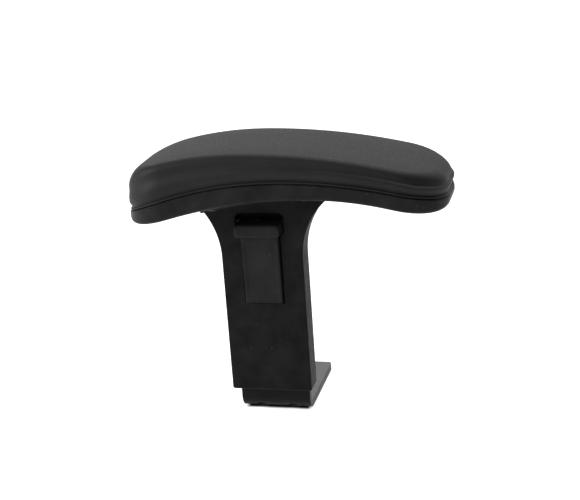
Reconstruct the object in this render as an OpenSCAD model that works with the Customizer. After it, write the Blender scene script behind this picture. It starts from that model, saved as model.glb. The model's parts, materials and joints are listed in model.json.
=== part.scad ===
// Height-adjustable armrest for an office chair: an arched soft pad on a flared plastic sleeve,
// which slides on a steel upright whose foot bolts under the seat.
// X runs along the pad, +Y runs from the outer face towards the seat, +Z is up.
// The origin is midway between the two foot slots, on the foot's top face.

/* [Steel bracket] */
// Width of the steel bar
bar_w = 55; // [50:1:60]
// Thickness of the steel bar
bar_t = 6; // [5:0.5:6.5]
// Length of the foot, from the outer face of the upright to the toe
foot_len = 83; // [70:1:110]
// Inner radius of the bend between the upright and the foot
bend_r = 5; // [3:0.5:8]
// Corner radius at the toe and at the top of the upright
bar_corner_r = 4; // [2:0.5:8]
// Width of each mounting slot
slot_w = 8; // [6:0.5:9]
// Distance between the two slots
slot_pitch = 25.4; // [20:0.1:30]
// Length of each slot, end to end
slot_len = 71.2; // [50:0.2:74]
// Distance from the slots' far ends to the toe
slot_toe = 10; // [7:0.5:14]

/* [Height adjustment] */
// Distance between neighbouring lock holes
hole_pitch = 10.5; // [10:0.5:11]
// Number of lock holes
hole_count = 7; // [4:1:7]
// Diameter of the lock pin
lock_pin_d = 7; // [5:0.5:8]
// Clearance round the lock pin in a lock hole, on the radius
lock_hole_gap = 0.2; // [0.1:0.05:0.4]
// Depth that the lock pin reaches into the bar
lock_depth = 3.8; // [3:0.1:4.5]
// Travel of the release lever
lever_travel = 5; // [4.5:0.1:6]
// Travel of the lock pin when the lever is lifted fully
lock_travel = 4.2; // [3.4:0.1:4.8]

/* [Sleeve] */
// Thickness of the sleeve's side walls
side_wall = 2.5; // [2:0.1:4]
// Thickness of the sleeve's rear wall
rear_wall = 3.6; // [3.2:0.1:5]
// Height of the sleeve's bottom edge above the foot's top face
sleeve_lift = 14.9; // [12:0.1:30]
// Thickness of the sleeve's front wall
front_wall = 2.8; // [2:0.1:3]
// Depth of the space for the release mechanism
mech_depth = 6.4; // [6.2:0.1:8]
// Running clearance between the bar and the parts that guide it
run_gap = 0.3; // [0.2:0.05:0.5]
// Thickness of the plastic glides
glide_t = 1.2; // [1:0.1:1.5]
// Height over which the sleeve's sides flare, up to the highest point of the pad's underside
flare_h = 53.9; // [46:0.1:56]
// Radius of the flare
flare_r = 60; // [45:1:80]
// Thickness of the sleeve's top above the space for the bar
roof_t = 8.9; // [8:0.1:12]
// Thickness of the flange under the pad
flange_t = 6; // [5:0.5:7]
// Radius of the sleeve's bottom edge
sleeve_foot_r = 2; // [0.5:0.1:2.2]
// Radius of the sleeve's rear corners
rear_corner_r = 3; // [2:0.5:7]

/* [Release lever] */
// Width of the lever's finger lip
lip_w = 34; // [30:0.5:35]
// Height of the finger lip
lip_h = 10.5; // [8:0.5:12]
// How far the finger lip stands out from the sleeve
lip_reach = 11; // [8:0.5:14]
// Width of the paddle below the lip
paddle_w = 28.6; // [26:0.2:29]
// How far the paddle stands out from the sleeve
paddle_proud = 4.4; // [3.4:0.1:6]
// Thickness of the paddle
paddle_t = 2.8; // [2:0.1:2.8]
// Height of the paddle's bottom edge above the sleeve's bottom
paddle_z0 = 73.5; // [70:0.5:74]
// Height of the paddle's top edge above the sleeve's bottom
paddle_z1 = 127.4; // [122:0.2:130]
// Gap between the paddle and the edges of the sleeve's opening
opening_gap = 1; // [0.5:0.1:1.5]
// Gap between the lip and the sides of the sleeve's opening
lip_gap = 1.8; // [1:0.1:2.5]

/* [Pad] */
// Overall length of the pad
pad_len = 241.2; // [200:0.2:290]
// Overall width of the pad
pad_w = 92; // [84:0.5:111]
// Distance along the pad from the sleeve's centre to the pad's centre
pad_shift_x = 22; // [0:1:25]
// How far the pad overhangs the sleeve's outer face
pad_overhang = 33; // [28:0.2:38]
// Radius of the pad's corners, seen from above
pad_corner_r = 35; // [28:1:40]
// Radius of the edge round the top of the pad
pad_edge_r = 14; // [10:0.5:14]
// Height of the cushion at its thickest
cushion_h = 21; // [18:0.1:26]
// Radius of the arch along the top, right of the crown
crown_r = 506; // [450:1:600]
// Radius of the arch along the top, left of the crown, where it droops more
crown_left_r = 271; // [250:1:350]
// Height of the base shell at its thickest
base_h = 12.2; // [11:0.1:15]
// Radius of the arch along the parting line, right of its highest point
parting_r = 412; // [380:1:500]
// Radius of the arch along the parting line, left of its highest point
parting_left_r = 296; // [280:1:400]
// Radius of the arch along the underside, right of its highest point
under_r = 266; // [240:1:320]
// Radius of the arch along the underside, left of its highest point
under_left_r = 376; // [340:1:420]
// Height by which the underside sweeps up at the pad's ends
end_rise = 9; // [4:0.5:9]
// Length over which the underside sweeps up at each end
end_sweep = 40; // [25:1:50]
// Radius of the edge round the underside of the base shell
base_edge_r = 3; // [2:0.5:4]
// Wall of the base shell
base_wall = 2.6; // [2:0.1:3.5]
// Thickness of the board inside the pad
board_t = 6; // [4:0.5:8]
// Distance between the pad bolts along the pad
bolt_pitch_x = 72; // [60:1:84]
// Distance between the pad bolts across the pad
bolt_pitch_y = 38; // [37:0.5:40]

/* [Hidden] */

eps = 0.05;          // how far a cutter passes a face that it opens
$fn = 48;

// Bracket
toe_y = slot_len/2 + slot_toe;
bar_y = toe_y - foot_len;                    // outer face of the upright
bend_out = bend_r + bar_t;
bend_y = bar_y + bend_out;                   // centre of the bend
slot_skin = 1.8;                             // steel left outside a slot's near end
sleeve_y = bar_y - front_wall - mech_depth - run_gap;

// The sleeve's own frame: its outer face at y = 0, its bottom at z = 0
bar_in = front_wall + mech_depth + run_gap;  // outer face of the bar
bar_out = bar_in + bar_t;
cav_y1 = bar_out + run_gap + glide_t;        // inner side of the rear wall
cav_hw = bar_w/2 + run_gap + glide_t;        // half width of the cavity
sleeve_hw = cav_hw + side_wall;
sleeve_d = cav_y1 + rear_wall;
plate_t = 2;                                 // lock guide plate
plate_y1 = bar_in - 0.4;
plate_y0 = plate_y1 - plate_t;
lock_z = 82;                                 // height of the lock pin
bar_top = lock_z + (hole_count - 1)*hole_pitch + 8;
window_hw = cav_hw - 9.3;                    // window in the rear wall, closed by the cover
stop_x = window_hw - 5.7;                    // stop rivets, beside the row of holes
stop_z = bar_top - 6;
stop_head_d = 8;
stop_head_t = 1.2;
rivet_d = 4;
height_range = (hole_count - 1)*hole_pitch;

// Pad outline, in the sleeve's frame
pad_cx = pad_shift_x;
pad_cy = pad_w/2 - pad_overhang;
shell_roof_z = bar_top + 1;                  // top of the cavity
under_x = 45;                                // highest points of the pad's three arches
under_z = shell_roof_z + roof_t;
parting_x = 26;
parting_z = under_z + base_h;
crown_x = -3;
crown_z = parting_z + cushion_h;
base_rim = 1;                                // least height of the base shell's side at the pad's ends

// Sleeve, in its own frame
flare_z = under_z - flare_h;                 // where the sides begin to flare
window_z = [12, lock_z + 38];
cover_lip = 5.5;                             // ledge round the window, under the cover's flange
cover_flange_t = 1.5;
cover_gap = 0.3;
cover_in_y = cav_y1 + 0.6;                   // the cover's inner face, clear of the stop rivets
cover_screw = [window_hw + 2.7, 2.7];        // the screws, from the centre line and beyond the window's ends
cover_screw_z = [window_z[0] - cover_screw[1], window_z[1] + cover_screw[1]];
boss_x = cav_hw - 3;                         // bosses of the lock guide plate
boss_z = [lock_z - 18, lock_z + 38];
boss_d = 6;
small_screw_d = 2.5;
open_hw = lip_w/2 + lip_gap;                 // the lever's opening, wide round the lip
open_low_hw = paddle_w/2 + opening_gap;      // and narrow round the paddle
open_z0 = paddle_z0 - opening_gap;
open_z1 = paddle_z1 + lip_h + lever_travel + opening_gap;
open_r = 5;
open_low_r = 1;
lip_corner_r = 2.5;
lip_edge_r = 3;
flange_chamfer = 3;
seat_gap = 0.1;                              // between the sleeve's top and the base shell

// Lever and lock
carrier_y = [front_wall + run_gap, front_wall + run_gap + 2];
carrier_z = [lock_z - 20, paddle_z1 + lip_h];
ear_hw = cav_hw - 1.8;                       // the lever's ears, which carry the springs
ear_z = [lock_z - 2, lock_z + 2];
spring_x = ear_hw - 2.4;
carrier_hw = spring_x - 3.2;
paddle_back = paddle_t - paddle_proud;        // the paddle's inner face
paddle_toe_t = 1.2;                          // the paddle's thickness at its bottom edge
cheek_x = [10.2, paddle_w/2 - 1.3];
cheek_z = [lock_z - 8, lock_z + 8.5];
block_hw = cheek_x[0] - 0.4;
block_y = [plate_y0 - run_gap - 3.8, plate_y0 - run_gap];
block_h = 13;
cross_pin_d = 2.5;
cross_y = (block_y[0] + block_y[1])/2;
cross_z = lock_z + 4.4;
slot_gap = 0.15;                             // play of the cross pin in the cam slot, on the radius
spigot_d = 5;
spring_d = 3.6;
spring_y = plate_y0 - 0.35 - spring_d/2;
spring_wire = 0.5;
spring_turns = 5;
shelf_z = [lock_z + 14, lock_z + 18];        // ribs of the sleeve that the springs push on

// Pad fixings
bolt_d = 6;
bolt_head_d = 10.5;
bolt_head_h = 2.6;
bolt_x = [2.5 - bolt_pitch_x/2, 2.5 + bolt_pitch_x/2];
bolt_front_y = -bolt_head_d/2 - 1.65;        // the front bolts, clear of the sleeve's outer face
bolt_y = [bolt_front_y, bolt_front_y + bolt_pitch_y];
bolt_boss_d = 15;
flange_rim = 7.5;                            // flange beyond the bolts' axes
flange_x = [bolt_x[0] - flange_rim, bolt_x[1] + flange_rim];
flange_y = [bolt_y[0] - flange_rim, bolt_y[1] + flange_rim];
washer_t = 0.8;
seat_drop = 2.4;                             // flange left above the bolts' counterbores
insert_d = 9;
board_inset = 9;
soft_gap = 0.3;
edge_screw_inset = [22.5, 17.9];             // screws that hold the base shell to the board
edge_screw_d = 4;
edge_head_d = 7.6;
edge_pocket_d = 8.4;
edge_pocket_h = 4;
edge_boss_d = 9;
far = 250;                                   // beyond the whole armrest, in any direction

// Heights of the pad's top, its parting line and its underside along X
function arc_z(x, x0, z0, r) = z0 - r + sqrt(r*r - (x - x0)*(x - x0));
function crown(x) = arc_z(x, crown_x, crown_z, x < crown_x ? crown_left_r : crown_r);
function parting(x) = arc_z(x, parting_x, parting_z, x < parting_x ? parting_left_r : parting_r);
function under_arc(x) = arc_z(x, under_x, under_z, x < under_x ? under_left_r : under_r);
function under(x) = under_arc(x) + sweep_up(x, x < pad_cx ? pad_cx - pad_len/2 : pad_cx + pad_len/2);

// How far the underside sweeps up at x, towards the pad's end at x_end
function sweep_up(x, x_end) =
    let (t = max(0, min(1, 1 - abs(x - x_end)/end_sweep)),
         room = parting(x_end) - under_arc(x_end) - base_edge_r - base_rim)
    min(end_rise, room)*(1 - sqrt(1 - t*t));

module arm_frame() {
    translate([0, sleeve_y, sleeve_lift]) children();
}

// A solid extruded along Y from y0 to y1, from a profile drawn in X and Z
module along_y(y0, y1) {
    translate([0, y1, 0]) rotate([90, 0, 0]) linear_extrude(y1 - y0) children();
}

// A solid extruded along X from x0 to x1, from a profile drawn in Y and Z
module along_x(x0, x1) {
    translate([x0, 0, 0]) rotate([90, 0, 90]) linear_extrude(x1 - x0) children();
}

module block(x0, x1, y0, y1, z0, z1) {
    translate([x0, y0, z0]) cube([x1 - x0, y1 - y0, z1 - z0]);
}

// A cylinder along Y between two depths
module rod_y(x, z, d, y0, y1) {
    translate([x, y1, z]) rotate([90, 0, 0]) cylinder(d = d, h = y1 - y0);
}

// A cone along Y, d0 wide at y0 and d1 wide at y1
module cone_y(x, z, d0, d1, y0, y1) {
    translate([x, y0, z]) rotate([-90, 0, 0]) cylinder(d1 = d0, d2 = d1, h = y1 - y0);
}

// One half of a rounded rectangle, as corner centres and outward directions, from +X round to -X
corner_steps = 8;
side_steps = 20;
function half_outline(len, wid, r) =
    let (cx = len/2 - r, cy = wid/2 - r)
    concat([for (i = [0:corner_steps]) let (a = 90*i/corner_steps) [cx, cy, cos(a), sin(a)]],
           [for (i = [1:side_steps - 1]) [cx - 2*cx*i/side_steps, cy, 0, 1]],
           [for (i = [0:corner_steps]) let (a = 90 + 90*i/corner_steps) [-cx, cy, cos(a), sin(a)]]);

// The whole outline drawn in by `inset`: the back half, then the front half in reverse
function outline_ring(half, r, inset, cx, cy) =
    concat([for (p = half) [cx + p[0] + p[2]*(r - inset), cy + p[1] + p[3]*(r - inset)]],
           [for (i = [len(half) - 1:-1:0]) let (p = half[i])
               [cx + p[0] + p[2]*(r - inset), cy - p[1] - p[3]*(r - inset)]]);

// A closed solid through a stack of rings, lowest first. Each end is closed by strips from back to front,
// which stay flat where the height depends only on x.
module ring_solid(rings) {
    n = len(rings[0]);
    half = n/2;
    last = len(rings) - 1;
    points = [for (ring = rings) each ring];
    sides = [for (k = [0:last - 1], i = [0:n - 1])
        let (a = k*n + i, b = k*n + (i + 1)%n, c = a + n, d = b + n)
        each [[a, c, d], [a, d, b]]];
    bottom = [for (i = [0:half - 2])
        let (a = i, b = i + 1, c = n - 2 - i, d = n - 1 - i)
        each [[a, b, c], [a, c, d]]];
    top = [for (i = [0:half - 2])
        let (o = last*n, a = o + i, b = o + i + 1, c = o + n - 2 - i, d = o + n - 1 - i)
        each [[a, c, b], [a, d, c]]];
    polyhedron(points = points, faces = concat(sides, bottom, top));
}

pad_half = half_outline(pad_len, pad_w, pad_corner_r);
function pad_ring(inset) = outline_ring(pad_half, pad_corner_r, inset, pad_cx, pad_cy);

module steel_bracket() {
    color("#2c2c2e")
    difference() {
        along_x(-bar_w/2, bar_w/2) {
            translate([bar_y, bend_r]) square([bar_t, sleeve_lift + bar_top - bend_r]);
            translate([bend_y, -bar_t]) square([toe_y - bend_y, bar_t]);
            intersection() {
                difference() {
                    translate([bend_y, bend_r]) circle(r = bend_out, $fn = 96);
                    translate([bend_y, bend_r]) circle(r = bend_r, $fn = 96);
                }
                translate([bar_y, -bar_t]) square([bend_out, bend_out]);
            }
        }
        for (s = [-1, 1]) {
            // corners of the toe and of the upright's top
            translate([s*bar_w/2, toe_y, -bar_t - 1]) linear_extrude(bar_t + 2) corner_cut(s);
            translate([s*bar_w/2, bar_y + bar_t + 1, sleeve_lift + bar_top])
                rotate([90, 0, 0]) linear_extrude(bar_t + 2) corner_cut(s);
            foot_slot(s*slot_pitch/2);
            // rivet hole for a height stop
            arm_frame() rod_y(s*stop_x, stop_z, rivet_d, bar_in - 1, bar_out + 1);
        }
        arm_frame() for (i = [0:hole_count - 1])
            rod_y(0, lock_z + i*hole_pitch, lock_pin_d + 2*lock_hole_gap, bar_in - 1, bar_out + 1);
    }
}

// What rounds off an outer corner at the origin, on the right (s = 1) or the left (s = -1)
module corner_cut(s) {
    scale([s, 1]) difference() {
        translate([-bar_corner_r, -bar_corner_r]) square(bar_corner_r + 1);
        translate([-bar_corner_r, -bar_corner_r]) circle(r = bar_corner_r);
    }
}

// A slot through the foot, whose near end runs up into the bend
module foot_slot(x) {
    far_y = toe_y - slot_toe - slot_w/2;
    end_angle = asin((bend_out - slot_skin)/bend_out) - asin(slot_w/2/bend_out);
    translate([x, far_y, -bar_t - 1]) cylinder(d = slot_w, h = bar_t + 2);
    block(x - slot_w/2, x + slot_w/2, bend_y - eps, far_y, -bar_t - 1, 1);
    translate([x, bend_y, bend_r]) rotate([0, 0, 180]) rotate([0, 90, 0]) {
        rotate_extrude(angle = end_angle)
            translate([bend_r - 1, -slot_w/2]) square([bar_t + 2, slot_w]);
        rotate([0, 0, end_angle]) rotate([0, 90, 0]) translate([0, 0, bend_r - 1])
            cylinder(d = slot_w, h = bar_t + 2);
    }
}

module bar_stop_rivets() {
    color("silver")
    arm_frame() for (s = [-1, 1]) {
        rod_y(s*stop_x, stop_z, rivet_d, bar_in, bar_out);
        rod_y(s*stop_x, stop_z, stop_head_d, bar_out, bar_out + stop_head_t);
    }
}

// Outline of the sleeve at height z, hw being its half width: small corners in front, large ones behind
front_corner_r = 1.2;
function quarter(cx, cy, r, a0, z) =
    [for (i = [0:6]) let (a = a0 + 15*i) [cx + r*cos(a), cy + r*sin(a), z]];
function sleeve_ring(z, hw, inset) =
    let (w = hw - inset, f = front_corner_r, r = rear_corner_r, y1 = sleeve_d - inset, y0 = inset)
    concat(quarter(w - r, y1 - r, r, 0, z), quarter(r - w, y1 - r, r, 90, z),
           quarter(f - w, y0 + f, f, 180, z), quarter(w - f, y0 + f, f, 270, z));

module sleeve_body() {
    flare_steps = 15;
    top_z = under_z + 2;
    sweep = asin(min(0.97, (top_z - flare_z)/flare_r));
    ring_solid(concat(
        [for (a = [0:22.5:90])
            sleeve_ring(sleeve_foot_r*(1 - cos(a)), sleeve_hw, sleeve_foot_r*(1 - sin(a)))],
        [for (z = [flare_z/2, flare_z]) sleeve_ring(z, sleeve_hw, 0)],
        [for (i = [1:flare_steps]) let (a = sweep*i/flare_steps)
            sleeve_ring(flare_z + flare_r*sin(a), sleeve_hw + flare_r*(1 - cos(a)), 0)],
        [sleeve_ring(top_z + 1, sleeve_hw + flare_r*(1 - cos(sweep)), 0)]));
}

// Everything below the arch of the pad's underside, lowered by `drop`
module below_pad(drop) {
    along_y(-far, far)
        polygon(concat([[flange_x[0] - 30, 0]],
                       [for (x = [flange_x[0] - 30:4:flange_x[1] + 50]) [x, under(x) - drop]],
                       [[flange_x[1] + 48, 0]]));
}

module flange() {
    intersection() {
        difference() {
            block(flange_x[0], flange_x[1], flange_y[0], flange_y[1], under_z/2, under_z);
            below_pad(flange_t);
        }
        below_pad(seat_gap);
        // the outer lower edge slopes away
        along_x(-far, far) polygon([
            [flange_y[0], under_z], [flange_y[0], under(flange_x[0]) - flange_t + flange_chamfer],
            [flange_y[0] + flange_chamfer, under(flange_x[0]) - flange_t],
            [flange_y[1], under(flange_x[0]) - flange_t], [flange_y[1], under_z]]);
    }
}

module sleeve_shell() {
    color("#26272a")
    arm_frame() difference() {
        union() {
            difference() {
                intersection() {
                    union() {
                        sleeve_body();
                        flange();
                    }
                    below_pad(seat_gap);
                }
                // space for the bar, the glides and the release mechanism
                block(-cav_hw, cav_hw, front_wall, cav_y1, -1, shell_roof_z);
            }
            for (s = [-1, 1]) {
                for (z = boss_z) rod_y(s*boss_x, z, boss_d, front_wall - eps, plate_y0);
                // ribs above the lever springs
                block(s > 0 ? spring_x - 2.2 : -cav_hw - eps, s > 0 ? cav_hw + eps : 2.2 - spring_x,
                      front_wall - eps, plate_y0 - 0.2, shelf_z[0], shelf_z[1]);
            }
        }
        // opening for the lever
        along_y(-1, front_wall + eps) {
            rounded_square(-open_hw, open_hw, paddle_z1 - opening_gap, open_z1, open_r);
            rounded_square(-open_low_hw, open_low_hw, open_z0, paddle_z1 + open_r, open_low_r);
        }
        // window in the rear wall and the recess for the cover's flange
        block(-window_hw, window_hw, cav_y1 - eps, sleeve_d + 1, window_z[0], window_z[1]);
        block(-window_hw - cover_lip, window_hw + cover_lip, sleeve_d - cover_flange_t, sleeve_d + 1,
              window_z[0] - cover_lip, window_z[1] + cover_lip);
        for (s = [-1, 1]) {
            for (z = boss_z) rod_y(s*boss_x, z, small_screw_d, front_wall + 0.6, plate_y0 + eps);
            for (z = cover_screw_z) rod_y(s*cover_screw[0], z, small_screw_d, cav_y1 - eps, sleeve_d);
        }
        for (x = bolt_x, y = bolt_y) {
            translate([x, y, flare_z]) cylinder(d = bolt_head_d + 1, h = under(x) - seat_drop - flare_z);
            translate([x, y, flare_z]) cylinder(d = bolt_d + 0.6, h = far);
        }
    }
}

module sleeve_back_cover() {
    stop_top = stop_z - height_range - stop_head_d/2 - run_gap;
    hw = window_hw - cover_gap;
    color("#242528")
    arm_frame() difference() {
        union() {
            block(-hw - cover_lip, hw + cover_lip, sleeve_d - cover_flange_t, sleeve_d,
                  window_z[0] - cover_lip + cover_gap, window_z[1] + cover_lip - cover_gap);
            block(-hw, hw, cover_in_y, sleeve_d - eps, window_z[0] + cover_gap, window_z[1] - cover_gap);
            // stops for the rivets on the bar
            for (s = [-1, 1])
                block(s*stop_x - 4, s*stop_x + 4, bar_out + run_gap, cover_in_y + eps,
                      stop_top - 8, stop_top);
        }
        for (s = [-1, 1], z = cover_screw_z) {
            rod_y(s*cover_screw[0], z, small_screw_d + 0.4, sleeve_d - 2, sleeve_d + 1);
            cone_y(s*cover_screw[0], z, small_screw_d + 0.4, 5.2, sleeve_d - 1.1, sleeve_d + eps);
        }
    }
}

// Countersunk screw along Y, its head's flat face at y_head, its tip at y_tip
module countersunk_screw(x, z, y_head, y_tip, head_d, head_h) {
    way = y_tip > y_head ? 1 : -1;
    difference() {
        union() {
            if (way > 0) cone_y(x, z, head_d, small_screw_d, y_head, y_head + head_h);
            else cone_y(x, z, small_screw_d, head_d, y_head - head_h, y_head);
            rod_y(x, z, small_screw_d - 0.04, min(y_head + way*head_h/2, y_tip),
                  max(y_head + way*head_h/2, y_tip));
        }
        // cross recess
        for (a = [0, 90]) translate([x, y_head, z]) rotate([0, a, 0])
            cube([head_d*0.55, head_h, head_d*0.13], center = true);
    }
}

module back_cover_screws() {
    color("silver")
    arm_frame() for (s = [-1, 1], z = cover_screw_z)
        countersunk_screw(s*cover_screw[0], z, sleeve_d - 0.1, cav_y1 + 0.1, 4.8, 0.9);
}

// Plastic angle that the bar's edge and rear face run on
module side_glide(s) {
    color("#e4e2da")
    arm_frame() scale([s, 1, 1]) {
        block(cav_hw - glide_t, cav_hw, bar_in, cav_y1, 6, window_z[1]);
        block(window_hw + 0.5, cav_hw, cav_y1 - glide_t, cav_y1, 6, window_z[1]);
    }
}

module left_glide() side_glide(-1);

module right_glide() side_glide(1);

// Plastic block between the front wall and the bar, with relief pockets
module front_glide(y0, z0, z1) {
    arm_frame() difference() {
        block(-cav_hw, cav_hw, y0, bar_in - run_gap, z0, z1);
        for (i = [-1:1]) block(i*17 - 6, i*17 + 6, y0 - 1, bar_in - run_gap - 2, z0 + 2.5, z1 - 2.5);
    }
}

module lower_front_glide() color("#e4e2da") front_glide(front_wall, 4, 24);

module upper_front_glide() color("#e4e2da") front_glide(front_wall, open_z1 + 0.6, shell_roof_z - 1);

module lock_guide_plate() {
    color("#9a9c9f")
    arm_frame() difference() {
        block(0.4 - cav_hw, cav_hw - 0.4, plate_y0, plate_y1, boss_z[0] - 6, boss_z[1] + 6);
        rod_y(0, lock_z, lock_pin_d + 0.16, plate_y0 - 1, plate_y1 + 1);
        for (s = [-1, 1], z = boss_z) {
            rod_y(s*boss_x, z, small_screw_d + 0.2, plate_y0 - 1, plate_y1 + 1);
            cone_y(s*boss_x, z, small_screw_d + 0.2, 5.3, plate_y1 - 1.3, plate_y1 + eps);
        }
    }
}

module guide_plate_screws() {
    color("silver")
    arm_frame() for (s = [-1, 1], z = boss_z)
        countersunk_screw(s*boss_x, z, plate_y1 - 0.1, front_wall + 0.8, 4.9, 1.1);
}

// Slot in the lever's cheeks, which draws the cross pin outwards as the lever rises
module cam_slot() {
    r = cross_pin_d/2 + slot_gap;
    side = r - 0.01;                         // just inside the round ends
    length = norm([lock_travel, lever_travel]);
    along_x(-cheek_x[1], cheek_x[1]) {
        translate([cross_y, cross_z]) circle(r = r);
        translate([cross_y - lock_travel, cross_z - lever_travel]) circle(r = r);
        translate([cross_y, cross_z]) rotate(180 + atan2(lever_travel, lock_travel))
            translate([0, -side]) square([length, 2*side]);
    }
}

module rounded_square(x0, x1, y0, y1, r) {
    translate([x0 + r, y0]) square([x1 - x0 - 2*r, y1 - y0]);
    translate([x0, y0 + r]) square([x1 - x0, y1 - y0 - 2*r]);
    for (x = [x0 + r, x1 - r], y = [y0 + r, y1 - r]) translate([x, y]) circle(r = r);
}

module release_lever() {
    color("#232427")
    arm_frame() difference() {
        union() {
            difference() {
                block(-carrier_hw, carrier_hw, carrier_y[0], carrier_y[1], carrier_z[0], carrier_z[1]);
                block(-cheek_x[0], cheek_x[0], 0, 10, lock_z - block_h/2 - lever_travel - 0.5,
                      lock_z + block_h/2 + 0.5);
            }
            // the paddle stands out less at its bottom edge
            along_x(-paddle_w/2, paddle_w/2)
                polygon([[paddle_back, paddle_z0], [paddle_back, paddle_z1 + eps],
                         [-paddle_proud, paddle_z1 + eps], [paddle_back - paddle_toe_t, paddle_z0]]);
            for (s = [-1, 1]) {
                // the paddle's sides, the cheeks and the ears under the springs
                block(s > 0 ? cheek_x[1] : -paddle_w/2, s > 0 ? paddle_w/2 : -cheek_x[1],
                      paddle_back - eps, carrier_y[0] + eps, paddle_z0, paddle_z1);
                block(s > 0 ? cheek_x[0] : -cheek_x[1] - eps, s > 0 ? cheek_x[1] + eps : -cheek_x[0],
                      paddle_back - eps, block_y[1], cheek_z[0], cheek_z[1]);
                block(s > 0 ? carrier_hw - eps : -ear_hw, s > 0 ? ear_hw : eps - carrier_hw,
                      carrier_y[0], plate_y0 - run_gap, ear_z[0], ear_z[1]);
            }
            // finger lip
            intersection() {
                along_x(-lip_w/2, lip_w/2) rounded_square(-lip_reach, carrier_y[1] + lip_edge_r, paddle_z1,
                                                          paddle_z1 + lip_h, lip_edge_r);
                along_y(-lip_reach, carrier_y[0] + eps)
                    rounded_square(-lip_w/2, lip_w/2, paddle_z1, paddle_z1 + lip_h, lip_corner_r);
            }
        }
        cam_slot();
    }
}

// Coil spring up Z as a swept ring of points
module coil(x, y, z0, z1) {
    turn_steps = 14;
    wire_steps = 6;
    n = spring_turns*turn_steps;
    r = (spring_d - spring_wire)/2;
    rise = z1 - z0 - spring_wire;
    points = [for (i = [0:n], j = [0:wire_steps - 1])
        let (a = 360*i/turn_steps, b = 360*j/wire_steps, q = r + spring_wire/2*cos(b))
        [x + q*cos(a), y + q*sin(a), z0 + spring_wire/2 + rise*i/n + spring_wire/2*sin(b)]];
    sides = [for (i = [0:n - 1], j = [0:wire_steps - 1])
        let (a = i*wire_steps + j, b = i*wire_steps + (j + 1)%wire_steps)
        each [[a, b, a + wire_steps], [b, b + wire_steps, a + wire_steps]]];
    ends = [[for (j = [wire_steps - 1:-1:0]) j], [for (j = [0:wire_steps - 1]) n*wire_steps + j]];
    polyhedron(points = points, faces = concat(sides, ends));
}

module lever_springs() {
    color("silver")
    arm_frame() for (s = [-1, 1])
        coil(s*spring_x, spring_y, ear_z[1] + 0.05, shelf_z[0] - 0.05);
}

module lock_block() {
    color("#8b8d90")
    arm_frame() difference() {
        block(-block_hw, block_hw, block_y[0], block_y[1], lock_z - block_h/2, lock_z + block_h/2);
        rod_y(0, lock_z, spigot_d + 0.02, block_y[0] - 1, block_y[1] + 1);
        along_x(-20, 20) translate([cross_y, cross_z]) circle(d = cross_pin_d + 0.02);
    }
}

module lock_pin() {
    tip_y = bar_in + lock_depth;
    color("#a9abae")
    arm_frame() {
        rod_y(0, lock_z, spigot_d, block_y[0] + 0.2, block_y[1] + eps);
        rod_y(0, lock_z, lock_pin_d, block_y[1], tip_y - 0.8);
        cone_y(0, lock_z, lock_pin_d, lock_pin_d - 1.6, tip_y - 0.8, tip_y);
    }
}

module lock_cross_pin() {
    reach = cheek_x[1] - 0.4;
    color("#c0c2c4")
    arm_frame() along_x(-reach, reach) translate([cross_y, cross_z]) circle(d = cross_pin_d);
}

// A ring of points set to the heights that `height` gives along X
function raise_ring(ring, height) = [for (p = ring) [p[0], p[1], height(p[0])]];

// Rings of the base shell's outer or inner surface: round the lower edge, then up to a top surface
function base_rings(inset, r, lift, over) = concat(
    [for (a = [0:15:90])
        raise_ring(pad_ring(inset + r*(1 - sin(a))), function (x) under(x) + lift + r*(1 - cos(a)))],
    [raise_ring(pad_ring(inset), function (x) parting(x) + over)]);

// Places of the screws that hold the base shell to the board
function edge_screws() = [for (k = [-1:1], s = [-1, 1])
    [pad_cx + k*(pad_len/2 - edge_screw_inset[0]), pad_cy + s*(pad_w/2 - edge_screw_inset[1])]];

module pad_base_shell() {
    color("#232427")
    arm_frame() difference() {
        union() {
            difference() {
                ring_solid(base_rings(0, base_edge_r, 0, 0));
                ring_solid(base_rings(base_wall, base_edge_r - base_wall + 0.4, base_wall, 1));
            }
            intersection() {
                union() {
                    for (x = bolt_x, y = bolt_y) translate([x, y, 0]) cylinder(d = bolt_boss_d, h = far);
                    for (p = edge_screws()) translate(p) cylinder(d = edge_boss_d, h = far);
                }
                ring_solid(base_rings(1, base_edge_r, base_wall - 0.5, 0));
            }
        }
        for (x = bolt_x, y = bolt_y) translate([x, y, 0]) cylinder(d = bolt_d + 0.6, h = far);
        for (p = edge_screws()) {
            translate(p) cylinder(d = edge_screw_d + 0.4, h = far);
            translate(p) cylinder(d = edge_pocket_d, h = under(p[0]) + edge_pocket_h);
        }
    }
}

module base_shell_screws() {
    head_z = edge_pocket_h - 2.4;
    color("silver")
    arm_frame() for (p = edge_screws()) translate([p[0], p[1], under(p[0])]) difference() {
        union() {
            translate([0, 0, head_z]) cylinder(d = edge_head_d, h = edge_pocket_h - head_z - 0.1);
            translate([0, 0, edge_pocket_h - 0.2])
                cylinder(d = edge_screw_d, h = parting(p[0]) - under(p[0]) + 0.6);
        }
        // cross recess
        for (a = [0, 90]) translate([0, 0, head_z]) rotate(a) cube([4.4, 1, 2.4], center = true);
    }
}

module board_solid(grow) {
    ring_solid([for (z = [soft_gap - grow, soft_gap + board_t + grow])
        raise_ring(pad_ring(board_inset - grow), function (x) parting(x) + z)]);
}

module pad_core_board() {
    color("#c9a97a")
    arm_frame() difference() {
        board_solid(0);
        for (x = bolt_x, y = bolt_y) translate([x, y, 0])
            cylinder(d = insert_d + 0.02, h = parting(x) + board_t - 0.8);
        for (p = edge_screws()) translate(p)
            cylinder(d = edge_screw_d + 0.02, h = parting(p[0]) + board_t - 0.8);
    }
}

module pad_t_nuts() {
    color("#b9a45a")
    arm_frame() for (x = bolt_x, y = bolt_y) translate([x, y, parting(x) + 1.2]) difference() {
        cylinder(d = insert_d, h = board_t - 2.2);
        translate([0, 0, -1]) cylinder(d = bolt_d + 0.02, h = board_t);
    }
}

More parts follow.
